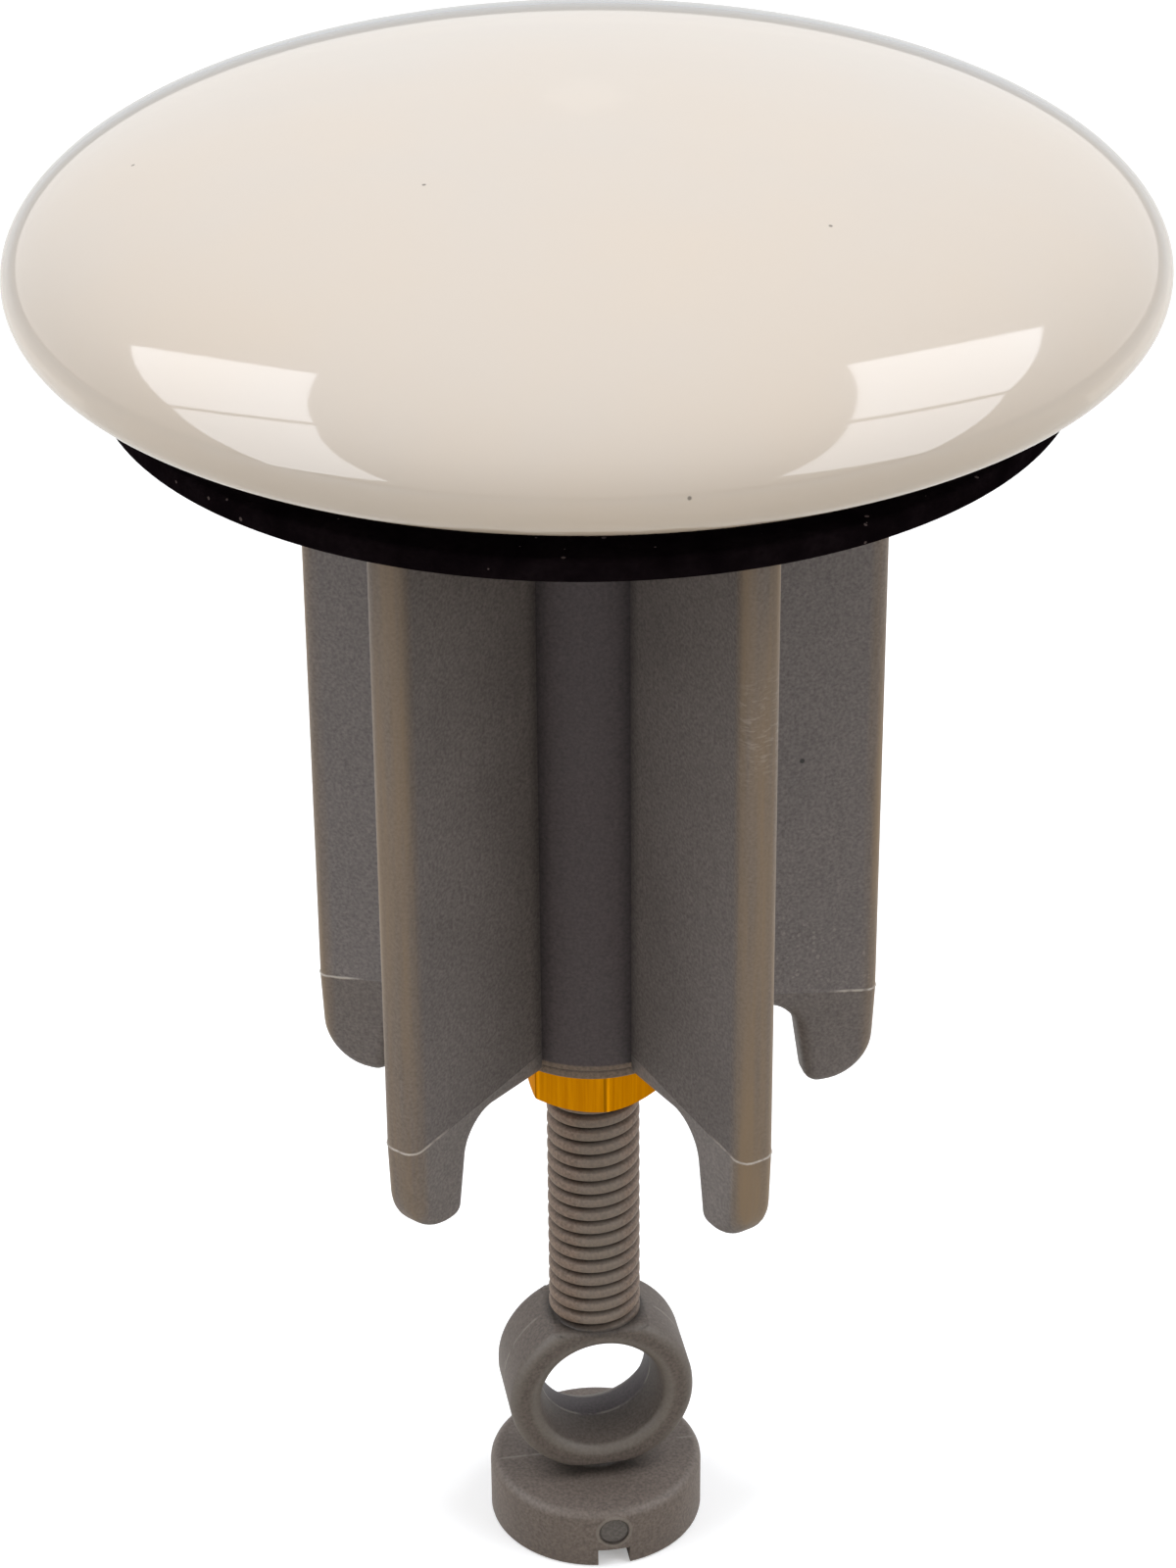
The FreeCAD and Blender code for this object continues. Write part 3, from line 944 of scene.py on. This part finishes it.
def cap_shape(cap):
    bm = bmesh.new()
    outer = dome_wire(bm, cap, inset=0.0, steps=60)
    lip_low = cap.middle - cap.roll
    lip_inner = cap.radius - cap.roll - cap.lip
    inner = dome_wire(bm, cap, inset=cap.wall, steps=40)
    end = path(bm, [(lip_inner, lip_low), (lip_inner, lip_low + cap.wall)], outer)
    bm.edges.new((end, inner))
    spun(bm, steps=200)
    round_ring(bm, lip_inner, lip_low, cap.lip_edge, segments=3)
    return loose("cap", bm)


def insert_shape(cap, seal, guide):
    bm = bmesh.new()
    inset = cap.wall + cap.fit
    bottom = dome_wire(bm, cap, inset, steps=40)
    low = cap.middle - cap.roll + inset
    collar = cap.radius - cap.roll - cap.lip - cap.collar
    socket, socket_top = guide.spigot + cap.socket, guide.spigot_top + cap.fit
    under = [
        (collar, low),
        (collar, seal.thickness),
        (socket, seal.thickness),
        (socket, socket_top),
        (0.0, socket_top),
    ]
    path(bm, under, bottom)
    spun(bm, steps=144)
    pockets = [face for face in bm.faces if in_pocket(face, cap, inset)]
    grown = bmesh.ops.extrude_face_region(bm, geom=pockets)
    for point in points_of(grown):
        point.co.z = low + cap.floor
    bmesh.ops.delete(bm, geom=[face for face in pockets if face.is_valid], context="FACES")
    cleaned(bm)
    return loose("insert", bm)


def in_pocket(face, cap, inset):
    """Whether a face of the insert's dome lies over one of the pockets between its ribs."""
    pocket, rib = 360.0 / POCKET_COUNT, 2.6
    middle = face.calc_center_median()
    far = middle.xy.length
    turn = math.degrees(math.atan2(middle.y, middle.x)) % pocket
    between = cap.hub < far < cap.radius - inset - cap.rim
    return between and face.normal.z > 0.2 and middle.z > cap.middle and rib < turn < pocket - rib


def seal_shape(seal):
    bm = bmesh.new()
    step = seal.thickness - seal.lip
    corners = [
        (seal.hole, step),
        (seal.rebate, step),
        (seal.rebate, 0.0),
        (seal.radius, 0.0),
        (seal.radius, seal.thickness),
        (seal.hole, seal.thickness),
        (seal.hole, step),
    ]
    path(bm, corners)
    spun(bm, steps=192)
    rim = ring_edges(bm, seal.radius, 0.0) + ring_edges(bm, seal.radius, seal.thickness)
    rounded(bm, rim, seal.edge, segments=4)
    return loose("seal", bm)


def core_shape(guide, seal):
    bm = bmesh.new()
    step = seal.thickness - seal.lip
    low, nose = -guide.depth, -guide.depth + guide.nose_height
    corners = [
        (0.0, guide.spigot_top),
        (guide.spigot, guide.spigot_top),
        (guide.spigot, seal.thickness),
        (guide.shoulder, seal.thickness),
        (guide.shoulder, step),
        (guide.flange, step),
        (guide.flange, -guide.flange_low),
        (guide.core, -guide.flange_low),
        (guide.core, nose),
        (guide.nose, nose),
        (guide.nose, low),
        (guide.bore, low),
        (guide.bore, -guide.bore_top),
        (0.0, -guide.bore_top),
    ]
    path(bm, corners)
    spun(bm, steps=128)
    round_ring(bm, guide.flange, -guide.flange_low, guide.flange_edge, segments=3)
    round_ring(bm, guide.core, nose, guide.core_edge, segments=3)
    round_ring(bm, guide.nose, low, guide.core_edge, segments=3)
    return loose("guide", bm)


def fillet_width(before, corner, after, radius):
    """How far along both sides of a corner its rounding reaches."""
    one, two = Vector(before) - Vector(corner), Vector(after) - Vector(corner)
    return radius / math.tan(one.angle(two) / 2)


def fin_shape(guide, turn):
    """One fin with its foot, rounded along its edges, turned to its place round the axis."""
    bm = bmesh.new()
    half = guide.fin_thickness / 2
    low, tip = -guide.depth, -guide.depth - guide.foot
    root = (guide.core + guide.bore) / 2
    top = -guide.flange_low / 2
    heel = (guide.fin - guide.foot_outer_slant, tip)
    toe = (guide.foot_inner + guide.foot_inner_slant, tip)
    shoulder, arch, inner = (guide.fin, low), (guide.foot_inner, low), (root, low)
    outline = [(root, top), (guide.fin, top), shoulder, heel, toe, arch, inner]
    corners = [bm.verts.new((x, -half, z)) for x, z in outline]
    side = bm.faces.new(corners)
    grown = bmesh.ops.extrude_face_region(bm, geom=[side])
    bmesh.ops.translate(bm, vec=(0.0, guide.fin_thickness, 0.0), verts=points_of(grown))
    bmesh.ops.recalc_face_normals(bm, faces=bm.faces)
    rounds = (
        (heel, fillet_width(shoulder, heel, toe, guide.heel), 12),
        (toe, fillet_width(heel, toe, arch, guide.toe), 8),
        (arch, fillet_width(toe, arch, inner, guide.arch), 10),
    )
    for (x, z), width, segments in rounds:
        rounded(bm, [edge for edge in bm.edges if at_corner(edge, x, z)], width, segments)
    rims = [edge for edge in bm.edges if on_rim(edge, half, root, top)]
    rounded(bm, rims, guide.fin_edge, segments=6)
    flash_line(bm, guide)
    rotated(bm, ("Z", turn))
    cleaned(bm)
    return loose("fin", bm)


def at_corner(edge, x, z):
    """Whether an edge crosses the fin at one corner of its outline."""
    return all(near(end.co.x, x) and near(end.co.z, z) for end in edge.verts)


def on_rim(edge, half, root, top):
    """Whether an edge bounds a side of the fin where the fin stands free."""
    one, two = (end.co for end in edge.verts)
    in_side = near(abs(one.y), half) and near(one.y, two.y)
    hidden = (near(one.x, root) and near(two.x, root)) or (near(one.z, top) and near(two.z, top))
    return in_side and not hidden


def flash_line(bm, guide):
    """The fine ridge where the halves of the mould met, highest at the fin's outer edge."""
    level = guide.flash_rise - guide.depth
    up = (guide.flash_slope, 0.0, 1.0)
    for height in (level - guide.flash, level, level + guide.flash):
        edge = (guide.fin, 0.0, height)
        bmesh.ops.bisect_plane(bm, geom=whole(bm), dist=IN_PLANE, plane_co=edge, plane_no=up)
    bm.normal_update()
    reach = 0.6 * (guide.fin - guide.foot_inner)
    for point in bm.verts:
        on_line = near(point.co.z, level + guide.flash_slope * (guide.fin - point.co.x))
        if on_line and point.co.x > guide.foot_inner:
            share = min(1.0, (point.co.x - guide.foot_inner) / reach)
            out = Vector((point.normal.x, point.normal.y, 0.0))
            point.co += out * guide.flash * share


def guide_shape(guide, seal):
    first = 1 / (2 * FIN_COUNT) - 1 / 4
    fins = [fin_shape(guide, FULL_TURN * (place / FIN_COUNT + first)) for place in range(FIN_COUNT)]
    return combined(core_shape(guide, seal), fins, "UNION")


def nut_shape(nut, guide):
    bm = bmesh.new()
    corner = nut.flat / math.cos(FULL_TURN / (2 * NUT_SIDES))
    top, low = -guide.depth, -guide.depth - nut.height
    bmesh.ops.create_circle(bm, cap_ends=True, segments=NUT_SIDES, radius=corner)
    rotated(bm, ("Z", nut.turn))
    raised(bm, low)
    grown = bmesh.ops.extrude_face_region(bm, geom=bm.faces[:])
    raised(bm, nut.height, points_of(grown))
    bmesh.ops.recalc_face_normals(bm, faces=bm.faces)
    upright = [edge for edge in bm.edges if not near(edge.verts[0].co.z, edge.verts[1].co.z)]
    rounded(bm, upright, nut.corner, segments=2)
    bar = loose("nut", bm)
    turned = bmesh.new()
    corners = [
        (guide.bore, low),
        (nut.flat, low),
        (corner, low + nut.chamfer),
        (corner, top - nut.chamfer),
        (nut.flat, top),
        (guide.bore, top),
        (guide.bore, low),
    ]
    path(turned, corners)
    spun(turned, steps=144)
    return combined(bar, [loose("nut_turned", turned)], "INTERSECT")


# The thread's section: shares of the groove's depth outwards and of the pitch upwards
THREAD_SECTION = (
    (0.0, 0.0), (0.58, 0.12), (0.88, 0.22), (1.0, 0.36), (1.0, 0.62), (0.88, 0.78), (0.58, 0.88), (0.0, 1.0),
)
THREAD_STEPS = 72
SPARE_TURNS = 2


def thread_shape(bolt):
    """The threaded shank, sunk a little in the eye: one pitch of its section, carried up a right-hand helix."""
    bm = bmesh.new()
    sunk = 0.4 * bolt.pitch
    low = -bolt.eye + bolt.eye_flat - sunk
    high = -bolt.top
    root = bolt.radius - bolt.groove
    start = low - SPARE_TURNS * bolt.pitch
    path(bm, [(root + bolt.groove * out, start + bolt.pitch * up) for out, up in THREAD_SECTION])
    bmesh.ops.spin(
        bm,
        geom=bm.verts[:] + bm.edges[:],
        cent=ORIGIN,
        axis=UP,
        dvec=(0.0, 0.0, bolt.pitch / THREAD_STEPS),
        angle=FULL_TURN,
        steps=THREAD_STEPS,
    )
    one_turn = whole(bm)
    for turn in range(1, math.ceil((high - low) / bolt.pitch) + 2 * SPARE_TURNS):
        copied = bmesh.ops.duplicate(bm, geom=one_turn)
        raised(bm, turn * bolt.pitch, points_of(copied))
    bmesh.ops.remove_doubles(bm, verts=bm.verts, dist=2 * MERGE)
    trimmed(bm, high, 1.0)
    trimmed(bm, low, -1.0)
    for point in bm.verts:
        most = bolt.radius - max(0.0, point.co.z - (high - bolt.chamfer))
        far = point.co.xy.length
        if far > most:
            point.co.xy *= most / far
    bmesh.ops.recalc_face_normals(bm, faces=bm.faces)
    return loose("thread", bm)


def eye_shape(bolt):
    """The eye's ring round its flared hole, flat at its top under the shank and at its foot over the head."""
    bm = bmesh.new()
    half = bolt.eye_width / 2
    land_front, land_rear = bolt.land / 2 - bolt.land_setback, -bolt.land / 2 - bolt.land_setback
    corners = [
        (bolt.eye_radius, -half),
        (bolt.eye_radius, half),
        (bolt.mouth, half),
        (bolt.hole, land_front),
        (bolt.hole, land_rear),
        (bolt.rear_mouth, -half),
        (bolt.eye_radius, -half),
    ]
    path(bm, corners)
    spun(bm, steps=128)
    for radius, height, width in (
        (bolt.eye_radius, half, bolt.eye_edge),
        (bolt.eye_radius, -half, bolt.eye_edge),
        (bolt.mouth, half, bolt.mouth_edge),
        (bolt.rear_mouth, -half, bolt.mouth_edge),
    ):
        round_ring(bm, radius, height, width, segments=5)
    rotated(bm, ("Z", bolt.turn), ("X", QUARTER_TURN))
    rounded(bm, trimmed(bm, bolt.eye_flat, 1.0), bolt.flat_edge, segments=3)
    trimmed(bm, -bolt.eye_foot, -1.0)
    raised(bm, -bolt.eye)
    cleaned(bm)
    return loose("bolt", bm)


def head_shape(bolt):
    """The round head and the neck that carries it under the eye."""
    bm = bmesh.new()
    top, low = -bolt.head_top, -bolt.head_top - bolt.head
    neck_top = -bolt.eye - bolt.rear_mouth - bolt.mouth_edge
    corners = [(0.0, neck_top), (bolt.neck, neck_top), (bolt.neck, top), (bolt.head_radius, top)]
    path(bm, corners + [(bolt.head_radius, low), (0.0, low)])
    spun(bm, steps=128)
    round_ring(bm, bolt.head_radius, top, bolt.head_edge, segments=6)
    round_ring(bm, bolt.head_radius, low, bolt.head_low_edge, segments=3)
    round_ring(bm, bolt.neck, top, bolt.neck_edge, segments=4)
    return loose("head", bm)


def slot_cutter(bolt):
    """The driver slot across the head's underside."""
    bm = bmesh.new()
    bmesh.ops.create_cube(bm, size=1.0)
    bmesh.ops.scale(bm, vec=(bolt.slot, 4 * bolt.head_radius, 2 * bolt.slot_depth), verts=bm.verts)
    rotated(bm, ("Z", bolt.turn))
    raised(bm, -bolt.head_top - bolt.head)
    return loose("slot", bm)


def gate_cutter(bolt):
    """The round recess of the gate mark, on the front of the head."""
    bm = bmesh.new()
    depth = bolt.head_radius
    bmesh.ops.create_cone(
        bm, cap_ends=True, segments=40, radius1=bolt.gate, radius2=bolt.gate, depth=depth
    )
    raised(bm, bolt.head_radius - bolt.gate_recess + depth / 2)
    rotated(bm, ("Z", bolt.turn), ("X", QUARTER_TURN))
    raised(bm, -bolt.head_top - bolt.gate_drop)
    return loose("gate", bm)


def bolt_shape(bolt):
    piece = combined(eye_shape(bolt), [head_shape(bolt), thread_shape(bolt)], "UNION")
    return combined(piece, [slot_cutter(bolt), gate_cutter(bolt)], "DIFFERENCE")


# Floor, light and camera

WARM_LIGHT = (0.97, 0.85, 0.68, 1.0)
PANE_TONE = (0.97, 1.0, 1.05, 1.0)

# Half the width of the floor in metres, and where its far tone begins and is full, in millimetres from the axis
FLOOR_SIZE = 4.0
FLOOR_RADII = (250.0, 700.0)

# Where the surround light changes, from and to, as parts along Y and Z of a direction of length 1
SHADED_Y, WARM_Y = (-0.9, -0.4), (-0.7, -0.2)
SHADED_Z, LIGHT_Z = (0.3, 0.6), (0.44, 0.50)

# The panes of the light panels: name, side, share of the brightness as mirrored, share of it as light on dull
# pieces, and corners as places along Y and Z in metres
PANES = (
    ("left_rear", -1.0, 1.0, 1.14, ((0.285, 0.483), (0.351, 1.266), (-0.200, 0.860), (-0.060, 0.280))),
    ("left_front", -1.0, 0.98, 0.30, ((-0.078, 0.270), (-0.235, 0.840), (-0.948, 0.120), (-0.420, -0.070))),
    ("right_rear", 1.0, 1.0, 1.28, ((0.474, 0.575), (0.556, 1.504), (-0.140, 0.880), (0.058, 0.342))),
    ("right_front", 1.0, 0.97, 0.36, ((0.035, 0.330), (-0.180, 0.845), (-0.764, 0.198), (-0.268, -0.017))),
)


def lay_floor(stage):
    """The pale floor under the stopper. Dull and glossy pieces see it in tones of their own."""
    bm = bmesh.new()
    bmesh.ops.create_grid(bm, x_segments=1, y_segments=1, size=FLOOR_SIZE)
    raised(bm, CAD_BOX[0][2])
    floor = loose("floor", bm)
    material, tree, shader, place = finish("Pale floor", Roughness=0.8, Specular_IOR_Level=0.1)
    rays = tree.nodes.new("ShaderNodeLightPath").outputs
    far = ramp(tree, placed(tree, "Round the axis", place).outputs["Radius"], *FLOOR_RADII)
    shine = mixed(tree, far, paint(stage.floor_shine), paint(stage.floor_far))
    tone = mixed(tree, rays["Is Diffuse Ray"], paint(stage.floor), paint(stage.floor_bounce))
    tone = mixed(tree, rays["Is Glossy Ray"], tone, shine)
    lift = maths(tree, "MULTIPLY", rays["Is Camera Ray"], stage.floor_lift)
    link(tree, shader, Base_Color=tone, Emission_Strength=lift)
    shader.inputs["Emission Color"].default_value = WHITE
    floor.data.materials.append(material)
    floor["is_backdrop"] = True


def light_surround(scene, stage):
    """Soft light, stronger above and weaker low in front. The camera and glossy pieces see plain white."""
    world = bpy.data.worlds.new("Surround")
    scene.world = world
    world.use_nodes = True
    tree = world.node_tree
    glow = tree.nodes["Background"]
    towards = tree.nodes.new("ShaderNodeTexCoord").outputs["Generated"]
    parts = add(tree, "ShaderNodeSeparateXYZ", {"Vector": towards}).outputs
    front = fall(tree, parts["Y"], *SHADED_Y)
    low = ramp(tree, parts["Z"], *SHADED_Z, stage.sky_front, 0.0)
    height = ramp(tree, parts["Z"], *LIGHT_Z, stage.sky_low, stage.sky)
    strength = maths(tree, "SUBTRACT", height, both(tree, front, low))
    rays = tree.nodes.new("ShaderNodeLightPath").outputs
    seen = either(tree, rays["Is Camera Ray"], rays["Is Glossy Ray"], rays["Is Transmission Ray"])
    warm = both(tree, rays["Is Diffuse Ray"], fall(tree, parts["Y"], *WARM_Y))
    tone = mixed(tree, warm, WHITE, WARM_LIGHT)
    tree.links.new(blend(tree, seen, strength, 1.0), glow.inputs["Strength"])
    tree.links.new(tone, glow.inputs["Color"])


def hang_pane(stage, name, side, mirrored, soft, corners):
    """One pane of a window-like light panel, on an upright plane beside the stopper."""
    bm = bmesh.new()
    bm.faces.new([bm.verts.new((side * stage.panel_far, y, z)) for y, z in corners])
    pane = loose(f"pane_{name}", bm)
    material, tree, shader, _ = finish(f"Lit pane {name}", Specular_IOR_Level=0.0)
    rays = tree.nodes.new("ShaderNodeLightPath").outputs
    bright = blend(tree, rays["Is Diffuse Ray"], stage.panel * mirrored, stage.panel * soft)
    link(tree, shader, Emission_Strength=bright)
    shader.inputs["Base Color"].default_value = BLACK
    shader.inputs["Emission Color"].default_value = PANE_TONE
    pane.data.materials.append(material)
    pane.visible_camera = False
    pane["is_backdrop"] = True


def set_camera(scene, stage):
    lens = bpy.data.cameras.new("camera")
    lens.sensor_fit = "VERTICAL"
    lens.sensor_height = 36.0
    lens.lens = stage.lens
    lens.clip_start = 0.01
    camera = bpy.data.objects.new("camera", lens)
    turn = Matrix.Rotation(stage.azimuth, 4, "Z") @ Matrix.Rotation(QUARTER_TURN - stage.pitch, 4, "X")
    back = turn @ Vector((0.0, 0.0, stage.distance))
    turn = turn @ Matrix.Rotation(stage.yaw, 4, "Y") @ Matrix.Rotation(stage.roll, 4, "Z")
    camera.matrix_world = Matrix.Translation(back + Vector((0.0, 0.0, stage.target))) @ turn
    scene.collection.objects.link(camera)
    scene.camera = camera


# Operators: one for each piece, and one for the stage


class STOPPER_OT_cap(bpy.types.Operator):
    """Builds the enamelled cap"""

    bl_idname = "stopper.cap"
    bl_label = "Cap"

    def execute(self, context):
        cap = context.scene.stopper.cap
        dressed(cap_shape(cap), enamel_finish(cap), STOPPER, "cap_shell")
        return {"FINISHED"}


class STOPPER_OT_insert(bpy.types.Operator):
    """Builds the ribbed insert behind the cap"""

    bl_idname = "stopper.insert"
    bl_label = "Insert"

    def execute(self, context):
        sizes = context.scene.stopper
        shape = insert_shape(sizes.cap, sizes.seal, sizes.guide)
        dressed(shape, insert_finish(sizes.cap), STOPPER, "backing_disc")
        return {"FINISHED"}


class STOPPER_OT_seal(bpy.types.Operator):
    """Builds the rubber seal"""

    bl_idname = "stopper.seal"
    bl_label = "Seal"

    def execute(self, context):
        seal = context.scene.stopper.seal
        dressed(seal_shape(seal), rubber_finish(seal), STOPPER, "seal_ring")
        return {"FINISHED"}


class STOPPER_OT_guide(bpy.types.Operator):
    """Builds the guide with its core, fins and feet"""

    bl_idname = "stopper.guide"
    bl_label = "Guide"

    def execute(self, context):
        sizes = context.scene.stopper
        shape = guide_shape(sizes.guide, sizes.seal)
        dressed(shape, guide_finish(sizes.guide), STOPPER, "guide_body")
        return {"FINISHED"}


class STOPPER_OT_nut(bpy.types.Operator):
    """Builds the brass lock nut"""

    bl_idname = "stopper.nut"
    bl_label = "Lock nut"

    def execute(self, context):
        sizes = context.scene.stopper
        dressed(nut_shape(sizes.nut, sizes.guide), brass_finish(sizes.nut), NUT, "lock_nut", 15.0)
        return {"FINISHED"}


class STOPPER_OT_bolt(bpy.types.Operator):
    """Builds the eye bolt with its thread, eye and slotted head"""

    bl_idname = "stopper.bolt"
    bl_label = "Eye bolt"

    def execute(self, context):
        bolt = context.scene.stopper.bolt
        dressed(bolt_shape(bolt), bolt_finish(bolt), BOLT, "eye_bolt")
        return {"FINISHED"}


class STOPPER_OT_stage(bpy.types.Operator):
    """Lays the floor, hangs the light panels and sets the camera"""

    bl_idname = "stopper.stage"
    bl_label = "Stage"

    def execute(self, context):
        stage = context.scene.stopper.stage
        lay_floor(stage)
        light_surround(context.scene, stage)
        for pane in PANES:
            hang_pane(stage, *pane)
        set_camera(context.scene, stage)
        context.scene.view_settings.view_transform = "Standard"
        return {"FINISHED"}


class STOPPER_PT_build(bpy.types.Panel):
    """Lists the operators that build the stopper"""

    bl_idname = "STOPPER_PT_build"
    bl_label = "Drain stopper"
    bl_space_type = "VIEW_3D"
    bl_region_type = "UI"
    bl_category = "Stopper"

    def draw(self, context):
        for operator in OPERATORS:
            self.layout.operator(operator.bl_idname)


SETTINGS = (
    CapSettings, SealSettings, GuideSettings, NutSettings, BoltSettings, StageSettings, StopperSettings,
)
OPERATORS = (
    STOPPER_OT_cap,
    STOPPER_OT_insert,
    STOPPER_OT_seal,
    STOPPER_OT_guide,
    STOPPER_OT_nut,
    STOPPER_OT_bolt,
    STOPPER_OT_stage,
)


def register():
    for cls in SETTINGS + OPERATORS + (STOPPER_PT_build,):
        bpy.utils.register_class(cls)
    bpy.types.Scene.stopper = PointerProperty(
        type=StopperSettings, name="Stopper", description="Drain stopper"
    )


def unregister():
    del bpy.types.Scene.stopper
    for cls in reversed(SETTINGS + OPERATORS + (STOPPER_PT_build,)):
        bpy.utils.unregister_class(cls)


def main():
    register()
    bpy.ops.stopper.cap()
    bpy.ops.stopper.insert()
    bpy.ops.stopper.seal()
    bpy.ops.stopper.guide()
    bpy.ops.stopper.nut()
    bpy.ops.stopper.bolt()
    bpy.ops.stopper.stage()
    boxes = {"cad": CAD_BOX, "visual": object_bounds()}
    boxes = {name: [list(corner) for corner in box] for name, box in boxes.items()}


if __name__ == "__main__":
    main()
